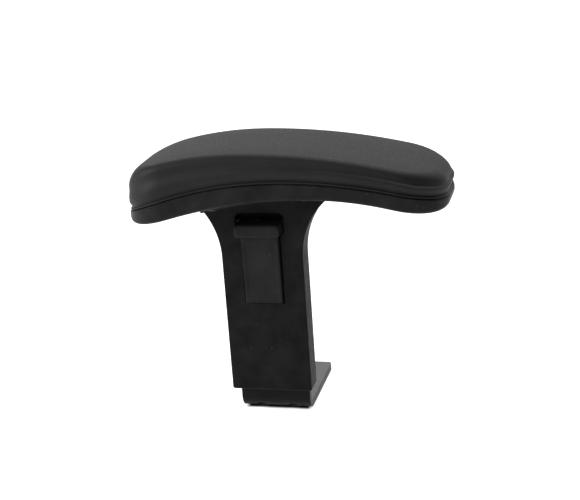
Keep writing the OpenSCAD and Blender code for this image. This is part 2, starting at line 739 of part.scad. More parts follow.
module pad_cushion() {
    lip_h_soft = 1.5;
    // the top edge is lower where the cushion is thin
    function edge_h(x) = min(pad_edge_r, crown(x) - parting(x) - soft_gap - lip_h_soft - 0.2);
    color("#3a3b3d")
    arm_frame() difference() {
        ring_solid(concat(
            [raise_ring(pad_ring(0.8), function (x) parting(x) + soft_gap),
             raise_ring(pad_ring(0), function (x) parting(x) + soft_gap + lip_h_soft)],
            [for (a = [0:15:90])
                raise_ring(pad_ring(pad_edge_r*(1 - cos(a))),
                           function (x) crown(x) - edge_h(x)*(1 - sin(a)))]));
        board_solid(soft_gap);
    }
}

module arm_bolts() {
    color("silver")
    arm_frame() for (x = bolt_x, y = bolt_y) {
        seat = under(x) - seat_drop - washer_t;
        difference() {
            union() {
                translate([x, y, seat - bolt_head_h]) cylinder(d = bolt_head_d, h = bolt_head_h);
                translate([x, y, seat - eps]) cylinder(d = bolt_d, h = parting(x) + board_t - 1.6 - seat);
            }
            translate([x, y, seat - bolt_head_h - 1]) cylinder(d = 4.6, h = 2.6, $fn = 6);
        }
    }
}

module arm_bolt_washers() {
    color("silver")
    arm_frame() for (x = bolt_x, y = bolt_y)
        translate([x, y, under(x) - seat_drop - washer_t]) difference() {
            cylinder(d = bolt_head_d + 0.8, h = washer_t);
            translate([0, 0, -1]) cylinder(d = bolt_d + 0.3, h = 3);
        }
}

steel_bracket();
bar_stop_rivets();
sleeve_shell();
sleeve_back_cover();
back_cover_screws();
left_glide();
right_glide();
lower_front_glide();
upper_front_glide();
lock_guide_plate();
guide_plate_screws();
release_lever();
lever_springs();
lock_block();
lock_pin();
lock_cross_pin();
pad_base_shell();
base_shell_screws();
pad_core_board();
pad_t_nuts();
pad_cushion();
arm_bolts();
arm_bolt_washers();
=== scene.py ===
"""A height-adjustable chair armrest: arched soft pad, flared sleeve, release lever and steel upright.

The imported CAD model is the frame. The pad, the base shell, the sleeve, the lever and the bracket get finer
meshes with rounded edges, and every other piece keeps its CAD shape and gets its material here. The scene is
in metres, and the sizes below are in millimetres, in the sleeve's own frame.
"""

import json
import math

import bmesh
import bpy
from mathutils import Matrix, Vector


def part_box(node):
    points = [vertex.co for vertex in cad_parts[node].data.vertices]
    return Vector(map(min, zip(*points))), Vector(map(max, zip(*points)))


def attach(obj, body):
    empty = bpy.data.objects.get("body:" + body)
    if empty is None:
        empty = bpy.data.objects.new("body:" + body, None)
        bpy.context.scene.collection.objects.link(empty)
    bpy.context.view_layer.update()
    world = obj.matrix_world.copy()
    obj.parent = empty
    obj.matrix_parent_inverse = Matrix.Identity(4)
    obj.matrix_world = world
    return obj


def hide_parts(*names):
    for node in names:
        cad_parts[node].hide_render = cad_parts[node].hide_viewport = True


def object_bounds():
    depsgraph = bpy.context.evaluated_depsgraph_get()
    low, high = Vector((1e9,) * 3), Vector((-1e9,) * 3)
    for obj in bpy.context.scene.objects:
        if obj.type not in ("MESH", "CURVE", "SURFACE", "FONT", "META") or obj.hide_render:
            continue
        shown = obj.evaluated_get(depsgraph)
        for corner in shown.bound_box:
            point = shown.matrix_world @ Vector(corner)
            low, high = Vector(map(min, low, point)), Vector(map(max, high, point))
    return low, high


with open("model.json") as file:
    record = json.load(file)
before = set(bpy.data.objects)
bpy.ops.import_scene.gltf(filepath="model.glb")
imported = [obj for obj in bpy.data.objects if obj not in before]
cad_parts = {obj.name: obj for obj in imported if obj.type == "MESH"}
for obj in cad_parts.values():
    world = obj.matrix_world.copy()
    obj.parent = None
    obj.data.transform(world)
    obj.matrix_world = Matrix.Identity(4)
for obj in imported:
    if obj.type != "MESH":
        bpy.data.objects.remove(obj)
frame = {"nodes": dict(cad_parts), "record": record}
cad_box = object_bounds()

MM = 0.001

# The sleeve's own frame, found from the CAD: its outer face at y = 0 and its bottom at z = 0
bar_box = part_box("steel_bracket")
sleeve_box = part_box("sleeve_shell")
BAR_Y = 9.5                             # the bar's front face, behind the sleeve's outer face
SLEEVE = Vector((0, bar_box[0][1] - BAR_Y * MM, sleeve_box[0][2]))
FLOOR_Z = bar_box[0][2]


def to_row(x, y, z):
    """A point in the sleeve's frame, in millimetres, as a point in the row's frame, in metres."""
    return Vector((x * MM, y * MM, z * MM)) + SLEEVE


# ---------------------------------------------------------------- sizes, in mm, in the sleeve's frame

PAD_LEN, PAD_W, PAD_R = 241.2, 92.0, 35.0
PAD_CX, PAD_CY = 22.0, PAD_W / 2 - 33.0
CROWN = (-3.0, 196.1, 506.0, 271.0)     # x and z of the highest point, radius to its right and to its left
PARTING = (26.0, 175.1, 412.0, 296.0)
UNDER = (45.0, 162.9, 266.0, 376.0)
END_RISE, END_SWEEP = 9.0, 40.0         # how the underside sweeps up at the pad's ends

SLEEVE_HW, SLEEVE_D = 31.5, 20.6
FRONT_WALL, CAVITY_HW, CAVITY_Y1, ROOF_Z = 2.8, 29.0, 17.0, 154.0
FLARE_Z, FLARE_R = 109.0, 60.0
LIP_HW, LIP_Z, LIP_REACH = 17.0, (127.4, 137.9), 11.0
PADDLE_HW, PADDLE_Z0, PADDLE_BACK = 14.3, 73.5, -1.6
PADDLE_FRONT = (-2.8, -4.4)             # at its bottom and at its top
LOCK_Z, HOLE_PITCH = 82.0, 10.5
BOLTS_X, BOLTS_Y = (-33.5, 38.5), (-6.9, 31.1)
FLANGE_X, FLANGE_Y, FLANGE_T = (-41.0, 46.0), (-14.4, 38.6), 6.0
PAD_SEAT = 0.1                          # gap between the sleeve's top and the pad's underside
EDGE_SCREWS_X = tuple(PAD_CX + k * (PAD_LEN / 2 - 22.5) for k in (-1, 0, 1))
EDGE_SCREWS_DY = PAD_W / 2 - 17.9
SCREW_PILOT_R, SCREW_HEAD_R, SCREW_BOSS_R, SCREW_HEAD_DEPTH = 2.2, 4.2, 4.5, 4.0
BOLT_HOLE_R, BOLT_HEAD_R, BOLT_BOSS_R, BOLT_SEAT = 3.3, 5.75, 7.5, 2.4

BAR_HW, BAR_T, BEND_R, BAR_EDGE, BAR_CORNER_R = 27.5, 6.0, 5.0, 0.5, 4.0
BAR_TOP, TOE_Y = 153.0, BAR_Y + 83.0
FOOT_Z = -SLEEVE.z / MM                 # the foot's top face
BEND_Y, BEND_Z = BAR_Y + BAR_T + BEND_R, FOOT_Z + BEND_R
SLOT_X, SLOT_R, SLOT_END = 12.7, 4.0, 10.0
HOLE_R, RIVET_R, RIVET_X, RIVET_Z = 3.7, 2.0, 14.0, 147.0


def arc(curve, x):
    """Height at x of an arch given as the place of its highest point and its radius on each side of it."""
    x0, z0, right, left = curve
    r = right if x > x0 else left
    return z0 - r + math.sqrt(r * r - (x - x0) ** 2)


def crown(x):
    return arc(CROWN, x)


def parting(x):
    return arc(PARTING, x)


def under(x):
    t = min(1.0, max(0.0, 1 - (PAD_LEN / 2 - abs(x - PAD_CX)) / END_SWEEP))
    return arc(UNDER, x) + END_RISE * (1 - math.sqrt(1 - t * t))


# ---------------------------------------------------------------- mesh tools

def new_object(name, verts, faces, smooth=True):
    mesh = bpy.data.meshes.new(name)
    mesh.from_pydata([tuple(v) for v in verts], [], faces)
    mesh.validate()
    bm = bmesh.new()
    bm.from_mesh(mesh)
    bmesh.ops.recalc_face_normals(bm, faces=bm.faces)
    bm.to_mesh(mesh)
    bm.free()
    mesh.shade_smooth() if smooth else mesh.shade_flat()
    obj = bpy.data.objects.new(name, mesh)
    bpy.context.collection.objects.link(obj)
    return obj


def apply_modifiers(obj):
    """Turns an object's modifiers into its mesh."""
    graph = bpy.context.evaluated_depsgraph_get()
    mesh = bpy.data.meshes.new_from_object(obj.evaluated_get(graph))
    obj.modifiers.clear()
    old, obj.data = obj.data, mesh
    bpy.data.meshes.remove(old)
    return obj


def boolean(obj, cutters, operation="DIFFERENCE"):
    for cutter in cutters:
        mod = obj.modifiers.new("b", "BOOLEAN")
        mod.operation = operation
        mod.solver = "EXACT"
        mod.object = cutter
        apply_modifiers(obj)
        bpy.data.objects.remove(cutter)
    return obj


def crisp(obj, angle, weighted=True):
    """Smooth shading with hard edges where faces meet at more than an angle, and flat faces kept flat."""
    mesh = obj.data
    mesh.shade_smooth()
    bm = bmesh.new()
    bm.from_mesh(mesh)
    bmesh.ops.remove_doubles(bm, verts=bm.verts, dist=1e-7)
    limit = math.radians(angle)
    for e in bm.edges:
        e.smooth = not (len(e.link_faces) == 2 and e.calc_face_angle(0) > limit)
    bm.to_mesh(mesh)
    bm.free()
    if weighted:
        mod = obj.modifiers.new("w", "WEIGHTED_NORMAL")
        mod.keep_sharp = True
        mod.weight = 80
        apply_modifiers(obj)
    return obj


def loft(name, rings):
    """A closed solid through rings of equal length, lowest first, as points in the sleeve's frame.

    Each ring runs round the back half and returns along the front half in reverse, so opposite points pair
    up, and the ends are closed by strips between the pairs.
    """
    n = len(rings[0])
    half = n // 2
    verts = [p for ring in rings for p in ring]
    faces = []
    for k in range(len(rings) - 1):
        for i in range(n):
            a, b = k * n + i, k * n + (i + 1) % n
            faces.append((a, b, b + n, a + n))
    for base in (0, (len(rings) - 1) * n):
        for i in range(half - 1):
            faces.append((base + i, base + n - 1 - i, base + n - 2 - i, base + i + 1))
    return new_object(name, [to_row(*p) for p in verts], faces)


def half_outline(length, width, r, corner, side, ends):
    """Half a rounded rectangle from +X round the back to -X: corner centres and outward directions."""
    cx, cy = length / 2 - r, width / 2 - r
    out = [(cx, cy * i / ends, 1.0, 0.0) for i in range(1, ends)]
    turns = [math.pi / 2 * i / corner for i in range(corner + 1)]
    out += [(cx, cy, math.cos(a), math.sin(a)) for a in turns]
    out += [(cx - 2 * cx * i / side, cy, 0.0, 1.0) for i in range(1, side)]
    out += [(-cx, cy, -math.sin(a), math.cos(a)) for a in turns]
    out += [(-cx, cy * i / ends, -1.0, 0.0) for i in range(ends - 1, 0, -1)]
    return out


PAD_HALF = half_outline(PAD_LEN, PAD_W, PAD_R, 24, 90, 4)


def pad_ring(inset, height, extra=0.0):
    """The pad's outline drawn in by inset, and by extra more at the left tip or half of extra at the right.

    Heights come from height(x, end), where end goes from 0 along the sides to 1 at the tips.
    """
    k = PAD_R - inset
    back = []
    for cx, cy, nx, ny in PAD_HALF:
        end = nx * nx
        x = PAD_CX + cx + nx * k - extra * end * (0.5 if nx > 0 else -1.0)
        back.append((x, PAD_CY + cy + ny * k, end))
    front = [(x, 2 * PAD_CY - y, end) for x, y, end in reversed(back)]
    return [(x, y, height(x, end)) for x, y, end in back + front]


def box_mm(name, x, y, z):
    """A box in the sleeve's frame."""
    verts = [to_row(x[i], y[j], z[k]) for k in (0, 1) for j in (0, 1) for i in (0, 1)]
    faces = [(0, 2, 3, 1), (4, 5, 7, 6), (0, 1, 5, 4), (2, 6, 7, 3), (0, 4, 6, 2), (1, 3, 7, 5)]
    return new_object(name, verts, faces, smooth=False)


def rounded_outline(hw, z0, z1, r, grow, steps=8):
    """A rounded rectangle in X and Z, grown outwards."""
    r = max(r + grow, 0.01)
    x, lo, hi = hw + grow - r, z0 - grow + r, z1 + grow - r
    out = []
    for cx, cz, a0 in ((x, hi, 0), (-x, hi, 90), (-x, lo, 180), (x, lo, 270)):
        for i in range(steps + 1):
            a = math.radians(a0 + 90 * i / steps)
            out.append((cx + r * math.cos(a), cz + r * math.sin(a)))
    return out


def prism_y(name, levels):
    """A solid along Y through outlines in X and Z, given as (y, outline) pairs."""
    n = len(levels[0][1])
    verts = [to_row(x, y, z) for y, outline in levels for x, z in outline]
    faces = []
    for k in range(len(levels) - 1):
        for i in range(n):
            a, b = k * n + i, k * n + (i + 1) % n
            faces.append((a, b, b + n, a + n))
    faces.append(tuple(range(n)))
    faces.append(tuple(range((len(levels) - 1) * n, len(levels) * n)))
    return new_object(name, verts, faces, smooth=False)


def cylinder_mm(name, centre, axis, r, length, steps=40):
    """A cylinder in the sleeve's frame, from centre along a unit axis."""
    axis = Vector(axis)
    u = axis.orthogonal().normalized()
    w = axis.cross(u)
    rings = []
    for far in (0, length):
        rings.append([Vector(centre) + axis * far + (u * math.cos(a) + w * math.sin(a)) * r
                      for a in (2 * math.pi * i / steps for i in range(steps))])
    verts = [to_row(*p) for ring in rings for p in ring]
    faces = [(i, (i + 1) % steps, steps + (i + 1) % steps, steps + i) for i in range(steps)]
    faces += [tuple(range(steps)), tuple(range(steps, 2 * steps))]
    return new_object(name, verts, faces, smooth=False)


# ---------------------------------------------------------------- materials

def material(name, color, roughness, specular=0.5, metallic=0.0):
    mat = bpy.data.materials.new(name)
    mat.use_nodes = True
    nodes = mat.node_tree.nodes
    shader = nodes["Principled BSDF"]
    shader.inputs["Base Color"].default_value = (*color, 1)
    shader.inputs["Roughness"].default_value = roughness
    shader.inputs["Specular IOR Level"].default_value = specular
    shader.inputs["Metallic"].default_value = metallic
    return mat, nodes, mat.node_tree.links, shader


def object_coords(nodes):
    return nodes.new("ShaderNodeTexCoord").outputs["Object"]


def noise(nodes, links, coords, scale, detail=3.0, rough=0.55):
    node = nodes.new("ShaderNodeTexNoise")
    node.inputs["Scale"].default_value = scale
    node.inputs["Detail"].default_value = detail
    node.inputs["Roughness"].default_value = rough
    links.new(coords, node.inputs["Vector"])
    return node.outputs["Fac"]


def ramp(nodes, links, fac, low, high, start=0.3, end=0.7):
    node = nodes.new("ShaderNodeValToRGB")
    node.color_ramp.elements[0].position = start
    node.color_ramp.elements[1].position = end
    node.color_ramp.elements[0].color = (*low, 1)
    node.color_ramp.elements[1].color = (*high, 1)
    links.new(fac, node.inputs["Fac"])
    return node.outputs["Color"]


def grey(v):
    return (v, v, v)


def math_node(nodes, links, op, a, b):
    node = nodes.new("ShaderNodeMath")
    node.operation = op
    for i, v in enumerate((a, b)):
        if isinstance(v, (int, float)):
            node.inputs[i].default_value = v
        else:
            links.new(v, node.inputs[i])
    return node.outputs[0]


def bump(nodes, links, shader, height, distance, strength=1.0, under=None):
    node = nodes.new("ShaderNodeBump")
    node.inputs["Distance"].default_value = distance
    node.inputs["Strength"].default_value = strength
    links.new(height, node.inputs["Height"])
    if under is not None:
        links.new(under, node.inputs["Normal"])
    links.new(node.outputs["Normal"], shader.inputs["Normal"])
    return node.outputs["Normal"]


def moulded_plastic(name, base, roughness, specular, grain, depth):
    """Black moulded plastic with a spark-eroded grain, faint mottling, scuffs and dust."""
    mat, nodes, links, shader = material(name, base, roughness, specular)
    at = object_coords(nodes)
    fine = noise(nodes, links, at, grain, 2.0, 0.6)
    cloud = noise(nodes, links, at, 70, 5.0)
    low, high = tuple(c * 0.6 for c in base), tuple(c * 1.6 for c in base)
    specks = ramp(nodes, links, noise(nodes, links, at, 330, 1.0), grey(0.0), grey(0.55), 0.73, 0.80)
    mix = nodes.new("ShaderNodeMix")
    mix.data_type = "RGBA"
    mix.inputs[7].default_value = (0.03, 0.031, 0.029, 1)
    links.new(specks, mix.inputs[0])
    links.new(ramp(nodes, links, cloud, low, high), mix.inputs[6])
    links.new(mix.outputs[2], shader.inputs["Base Color"])
    wear = noise(nodes, links, at, 160, 5.0)
    links.new(ramp(nodes, links, wear, grey(roughness - 0.05), grey(roughness + 0.07)),
              shader.inputs["Roughness"])
    first = bump(nodes, links, shader, cloud, 0.00004, 0.5)
    bump(nodes, links, shader, fine, depth, 0.8, under=first)
    return mat


def urethane_skin():
    """Soft integral skin of a moulded pad: pebbled grain with valleys between rounded cells."""
    base = (0.006, 0.0064, 0.006)
    mat, nodes, links, shader = material("urethane_skin", base, 0.45, 0.18)
    at = object_coords(nodes)
    cells = nodes.new("ShaderNodeTexVoronoi")
    cells.feature = "SMOOTH_F1"
    cells.inputs["Scale"].default_value = 900
    cells.inputs["Smoothness"].default_value = 0.7
    links.new(at, cells.inputs["Vector"])
    fine = noise(nodes, links, at, 2600, 2.0)
    cloud = noise(nodes, links, at, 35, 4.0)
    pebble = math_node(nodes, links, "MULTIPLY", cells.outputs["Distance"], -0.7)
    height = math_node(nodes, links, "ADD", pebble, math_node(nodes, links, "MULTIPLY", fine, 0.25))
    links.new(ramp(nodes, links, cloud, (0.005, 0.0054, 0.005), (0.0075, 0.008, 0.0075)),
              shader.inputs["Base Color"])
    links.new(ramp(nodes, links, cells.outputs["Distance"], grey(0.5), grey(0.62), 0.1, 0.6),
              shader.inputs["Roughness"])
    first = bump(nodes, links, shader, cloud, 0.0003, 0.4)
    bump(nodes, links, shader, height, 0.00012, 0.6, under=first)
    return mat


def coated_steel():
    """Black powder coat with a fine orange-peel surface, and a painted reflection: strong on faces that look
    up, faint on faces that look sideways.
    """
    mat, nodes, links, shader = material("powder_coat", (0.004, 0.004, 0.0041), 0.3, 0.3)
    at = object_coords(nodes)
    # painted reflection: the specular strength follows how far each face looks up
    painted_reflection_facing = nodes.new("ShaderNodeSeparateXYZ")
    links.new(nodes.new("ShaderNodeTexCoord").outputs["Normal"], painted_reflection_facing.inputs[0])
    links.new(ramp(nodes, links, painted_reflection_facing.outputs["Z"], grey(0.07), grey(1.0), 0.3, 0.9),
              shader.inputs["Specular IOR Level"])
    peel = noise(nodes, links, at, 700, 2.0, 0.5)
    cloud = noise(nodes, links, at, 30, 5.0)
    links.new(ramp(nodes, links, cloud, grey(0.005), grey(0.008)), shader.inputs["Base Color"])
    links.new(ramp(nodes, links, cloud, grey(0.34), grey(0.46)), shader.inputs["Roughness"])
    bump(nodes, links, shader, peel, 0.00006, 0.7)
    return mat


def bare_metal(name, base, roughness):
    """Plated or turned steel with fine tool marks and slight tarnish."""
    mat, nodes, links, shader = material(name, base, roughness, 0.5, 1.0)
    at = object_coords(nodes)
    marks = noise(nodes, links, at, 1800, 3.0)
    cloud = noise(nodes, links, at, 140, 4.0)
    links.new(ramp(nodes, links, cloud, tuple(c * 0.78 for c in base), tuple(min(1, c * 1.1) for c in base)),
              shader.inputs["Base Color"])
    links.new(ramp(nodes, links, cloud, grey(roughness + 0.12), grey(roughness)), shader.inputs["Roughness"])
    bump(nodes, links, shader, marks, 0.00002, 0.6)
    return mat


def acetal():
    mat, nodes, links, shader = material("acetal", (0.72, 0.71, 0.66), 0.38, 0.5)
    at = object_coords(nodes)
    cloud = noise(nodes, links, at, 90, 4.0)
    links.new(ramp(nodes, links, cloud, (0.66, 0.65, 0.6), (0.78, 0.77, 0.73)), shader.inputs["Base Color"])
    bump(nodes, links, shader, noise(nodes, links, at, 900, 2.0), 0.00003, 0.5)
    return mat


def plywood():
    """Birch plywood: stretched grain across a stack of plies."""
    mat, nodes, links, shader = material("plywood", (0.6, 0.44, 0.28), 0.6, 0.4)
    mapping = nodes.new("ShaderNodeMapping")
    mapping.inputs["Scale"].default_value = (12, 160, 700)
    links.new(object_coords(nodes), mapping.inputs["Vector"])
    grain = noise(nodes, links, mapping.outputs["Vector"], 1.0, 6.0, 0.6)
    links.new(ramp(nodes, links, grain, (0.42, 0.28, 0.16), (0.68, 0.52, 0.34)), shader.inputs["Base Color"])
    bump(nodes, links, shader, grain, 0.0001, 0.5)
    return mat


MATERIALS = {
    "black_urethane_skin": urethane_skin(),
    "black_textured_plastic": moulded_plastic(
        "sleeve_plastic", (0.006, 0.0065, 0.0062), roughness=0.55, specular=0.06, grain=1500, depth=0.00006),
    "black_base_plastic": moulded_plastic(
        "base_plastic", (0.006, 0.0064, 0.0061), roughness=0.46, specular=0.1, grain=1900, depth=0.00005),
    "black_lever_plastic": moulded_plastic(
        "lever_plastic", (0.0075, 0.0082, 0.0078), roughness=0.42, specular=0.1, grain=2200, depth=0.00003),
    "black_powder_coated_steel": coated_steel(),
    "zinc_plated_steel": bare_metal("zinc", (0.56, 0.57, 0.58), 0.3),
    "spring_steel": bare_metal("spring_steel", (0.36, 0.36, 0.37), 0.34),
    "hardened_steel": bare_metal("hardened_steel", (0.45, 0.45, 0.46), 0.2),
    "black_oxide_steel": bare_metal("black_oxide", (0.05, 0.05, 0.055), 0.35),
    "white_acetal": acetal(),
    "plywood": plywood(),
    "brass": bare_metal("brass", (0.72, 0.52, 0.24), 0.28),
}


def finish_piece(obj, body, slot, *nodes):
    obj.data.materials.clear()
    obj.data.materials.append(MATERIALS[slot])
    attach(obj, body)
    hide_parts(*nodes)
    return obj


# ---------------------------------------------------------------- pad

LIP_GAP, LIP_H = 0.5, 1.5               # the cushion's lip: its gap over the parting line and its height
SWELL_Z = LIP_GAP + LIP_H + 6.0         # the side's fullest height above the parting line
SIDE_LEAN, END_LEAN = 3.2, 0.1          # how far the side leans in, and the share left at the left tip
EDGE_REACH, EDGE_DROP = 6.0, 5.5        # the top edge's curve along the sides
TIP_REACH, TIP_DROP = 8.0, 9.0          # what the left tip adds to it; the right adds half the reach
TOP_REACH, TOP_RISE = 21.0, 0.5


def swell_rings():
    """From the underside round the lip and up the side as far as its fullest point."""
    lip_top = LIP_GAP + LIP_H
    profile = (
        (4.0, LIP_GAP), (1.5, LIP_GAP), (0.95, LIP_GAP + 0.15), (0.7, LIP_GAP + 0.5),
        (0.7, lip_top - 0.4), (0.9, lip_top - 0.1), (1.5, lip_top), (1.9, lip_top + 0.3),
        (1.85, lip_top + 0.8), (1.4, lip_top + 1.6), (0.85, lip_top + 2.6), (0.35, lip_top + 3.8),
        (0.08, lip_top + 5.0), (0.0, SWELL_Z),
    )
    return [pad_ring(inset, lambda x, end, h=h: parting(x) + h) for inset, h in profile]


def room(x):
    """The height left over the swell."""
    return crown(x) - parting(x) - SWELL_Z


def edge_drop(x, end):
    """How far below the crown the top edge's curve starts."""
    return min(EDGE_DROP + TIP_DROP * end, 0.8 * room(x))


def make_cushion():
    """Soft moulded upper part: a thin lip, sides that swell and then lean in, and a soft top edge."""
    rings = swell_rings()
    held_out = SIDE_LEAN * (1 - END_LEAN)
    for i in range(1, 11):     # up the side, first steep, then leaning, then steep again
        t = i / 10
        lean = SIDE_LEAN * (t - math.sin(2 * math.pi * t) / (2 * math.pi))
        rings.append(pad_ring(lean,
                              lambda x, end, t=t: parting(x) + SWELL_Z + (room(x) - edge_drop(x, end)) * t,
                              -lean * (1 - END_LEAN)))
    for i in range(1, 17):     # round the top edge
        a = math.pi / 2 * i / 16
        turn = 1 - math.cos(a)
        rings.append(pad_ring(SIDE_LEAN + EDGE_REACH * turn,
                              lambda x, end, a=a: crown(x) - (1 - math.sin(a)) * edge_drop(x, end),
                              TIP_REACH * turn - held_out))
    for i in range(1, 7):      # over the top, which rises a little more to its middle
        t = i / 6
        rings.append(pad_ring(SIDE_LEAN + EDGE_REACH + TOP_REACH * t,
                              lambda x, end, t=t: crown(x) + TOP_RISE * (1 - (1 - t) ** 2),
                              (TIP_REACH - held_out) * (1 - t)))
    return crisp(loft("armrest_cushion", rings), 50, weighted=False)


BELOW, THROUGH = 5.0, 35.0    # how far a drilled hole's cutter starts below the shell and runs above it


def add_boss(shell, x, y, r):
    """A post for a screw, from the shell's wall to just under the board."""
    height = parting(x) - under(x) - 1.6
    boolean(shell, [cylinder_mm("boss", (x, y, under(x) + 1.2), (0, 0, 1), r, height)], "UNION")


def underside_rings(inset, r, lift):
    """The curve from the shell's underside up into its side."""
    return [pad_ring(inset + r * (1 - math.sin(a)),
                     lambda x, end, a=a: under(x) + lift + r * (1 - math.cos(a)))
            for a in (math.pi / 2 * i / 8 for i in range(9))]


def make_base_shell():
    """Hollow shell under the parting line, with pockets for the screws that hold it to the board."""
    wall, over = 2.6, 1.0
    rim = ((0, 0.9), (0.25, 0.25), (0.9, 0), (1.6, 0), (1.8, -0.4))     # its low tongue keeps light out
    outer = underside_rings(0, 3.0, 0)
    outer += [pad_ring(d, lambda x, end, h=h: parting(x) - h) for d, h in rim]
    shell = loft("pad_base", outer)
    inner = underside_rings(wall, 0.8, wall)
    inner.append(pad_ring(wall, lambda x, end: parting(x) + over))
    boolean(shell, [loft("inner", inner)])
    cutters = []
    for x in EDGE_SCREWS_X:
        for y in (PAD_CY - EDGE_SCREWS_DY, PAD_CY + EDGE_SCREWS_DY):
            add_boss(shell, x, y, SCREW_BOSS_R)
            for r, depth in ((SCREW_HEAD_R, SCREW_HEAD_DEPTH), (SCREW_PILOT_R, THROUGH)):
                cutters.append(cylinder_mm("c", (x, y, under(x) - BELOW), (0, 0, 1), r, BELOW + depth))
    for x in BOLTS_X:
        for y in BOLTS_Y:
            add_boss(shell, x, y, BOLT_BOSS_R)
            cutters.append(cylinder_mm("c", (x, y, under(x) - BELOW), (0, 0, 1), BOLT_HOLE_R,
                                       BELOW + THROUGH))
    boolean(shell, cutters)
    return crisp(shell, 40)


# ---------------------------------------------------------------- sleeve

def sleeve_ring(z, hw, inset):
    """Outline at a height: small corners at the front, larger ones at the rear."""
    w, front, rear = hw - inset, 1.2, 3.0
    y0, y1 = inset, SLEEVE_D - inset
    out = []
    for cx, cy, r, a0 in ((w - rear, y1 - rear, rear, 0), (rear - w, y1 - rear, rear, 90),
                          (front - w, y0 + front, front, 180), (w - front, y0 + front, front, 270)):
        for i in range(11):
            a = math.radians(a0 + 9 * i)
            out.append((cx + r * math.cos(a), cy + r * math.sin(a), z))
    return out


def sleeve_body():
    """The outside: a rounded bottom edge, a straight run, and a flare on both sides."""
    foot_r = 2.0
    rings = [sleeve_ring(foot_r * (1 - math.cos(a)), SLEEVE_HW, foot_r * (1 - math.sin(a)))
             for a in (math.pi / 2 * i / 5 for i in range(6))]
    rings += [sleeve_ring(FLARE_Z * t, SLEEVE_HW, 0) for t in (0.25, 0.5, 0.75, 1.0)]
    for a in (math.radians(2 * i) for i in range(1, 39)):
        hw = SLEEVE_HW + FLARE_R * (1 - math.cos(a))
        rings.append(sleeve_ring(FLARE_Z + FLARE_R * math.sin(a), hw, 0))
    return loft("sleeve", rings)


def flange():
    """The plate under the pad, thinner along its front edge."""
    levels = []
    xs = [FLANGE_X[0] + (FLANGE_X[1] - FLANGE_X[0]) * i / 24 for i in range(25)]
    for y, thick in ((FLANGE_Y[0], FLANGE_T / 2), (FLANGE_Y[0] + 3.0, FLANGE_T), (FLANGE_Y[1], FLANGE_T)):
        top = [(x, under(x) - PAD_SEAT) for x in xs]
        levels.append((y, top + [(x, under(x) - thick) for x in reversed(xs)]))
    return prism_y("flange", levels)


def above_pad():
    """Everything higher than the pad's underside."""
    xs = [-100 + 2 * i for i in range(121)]
    outline = [(x, under(x) - PAD_SEAT) for x in xs] + [(140, 220), (-100, 220)]
    return prism_y("above", [(-60, outline), (80, outline)])


def mouth(hw, z0, z1, r):
    """An opening through the front wall with a slightly softened rim."""
    rim = ((-2, 0.3), (0, 0.3), (0.05, 0.15), (0.15, 0.05), (0.3, 0), (FRONT_WALL + 0.1, 0))
    return prism_y("mouth", [(y, rounded_outline(hw, z0, z1, r, grow)) for y, grow in rim])


def make_sleeve():
    body = sleeve_body()
    boolean(body, [flange()], "UNION")
    boolean(body, [above_pad()])
    boolean(body, [
        box_mm("cavity", (-CAVITY_HW, CAVITY_HW), (FRONT_WALL, CAVITY_Y1), (-5, ROOF_Z)),
        mouth(18.8, LIP_Z[0] - 1, 143.9, 5.0),
        mouth(15.3, PADDLE_Z0 - 1, LIP_Z[0] + 5, 1.0),
        box_mm("window", (-19.7, 19.7), (CAVITY_Y1 - 0.1, SLEEVE_D + 2), (12, 120)),
        box_mm("recess", (-25.2, 25.2), (SLEEVE_D - 1.5, SLEEVE_D + 2), (6.5, 125.5)),
    ])
    holes = []
    low = 120      # lower than the flange, where each hole's cutter starts
    for x in BOLTS_X:
        for y in BOLTS_Y:
            holes.append(cylinder_mm("c", (x, y, low), (0, 0, 1), BOLT_HEAD_R, under(x) - BOLT_SEAT - low))
            holes.append(cylinder_mm("c", (x, y, low), (0, 0, 1), BOLT_HOLE_R, 60))
    boolean(body, holes)
    return crisp(body, 35)


# ---------------------------------------------------------------- lever

def rounded_loop(x0, x1, y0, y1, radii, steps=6):
    """A rectangle with a radius for each corner, anticlockwise from the one at x1, y1."""
    out = []
    for (cx, cy, sx, sy, a0), r in zip(((x1, y1, -1, -1, 0), (x0, y1, 1, -1, 90), (x0, y0, 1, 1, 180),
                                        (x1, y0, -1, 1, 270)), radii):
        for i in range(steps + 1):
            a = math.radians(a0 + 90 * i / steps)
            out.append((cx + sx * r + r * math.cos(a), cy + sy * r + r * math.sin(a)))
    return out


def make_lip():
    """Finger lip: a rounded bar across the lever, its ends drawn in by a curve."""
    end_r, edge_r, back_y = 2.5, 3.0, 3.2
    up, down = tuple(range(0, 91, 15)), tuple(range(90, -1, -15))
    verts, faces = [], []
    stations = [(-1, a) for a in up] + [(1, a) for a in down]
    for side, degrees in stations:
        x = side * (LIP_HW - end_r * (1 - math.cos(math.radians(degrees))))
        draw = end_r * (1 - math.cos(math.radians(90 - degrees)))
        loop = rounded_loop(-LIP_REACH + draw * 0.6, back_y, LIP_Z[0] + draw, LIP_Z[1] - draw,
                            (0.4, edge_r, edge_r * 0.8, 0.4))
        verts += [to_row(x, y, z) for y, z in loop]
    n, last = len(loop), len(stations) - 1
    for k in range(last):
        for i in range(n):
            a, b = k * n + i, k * n + (i + 1) % n
            faces.append((a, b, b + n, a + n))
    faces += [tuple(range(n)), tuple(range(last * n, (last + 1) * n))]
    return new_object("lever", verts, faces, smooth=False)


def paddle_columns():
    """Places across the paddle, each with how far its rolled edge falls back there."""
    roll = 1.1
    edge = [(0.0, 1.0), (0.1, 0.62), (0.38, 0.28), (0.7, 0.08), (1.0, 0.0)]
    flat = 2 * (PADDLE_HW - roll)
    columns = [(-PADDLE_HW + c * roll, d) for c, d in edge]
    columns += [(-PADDLE_HW + roll + flat * i / 28, 0.0) for i in range(1, 28)]
    return columns + [(PADDLE_HW - c * roll, d) for c, d in reversed(edge)]


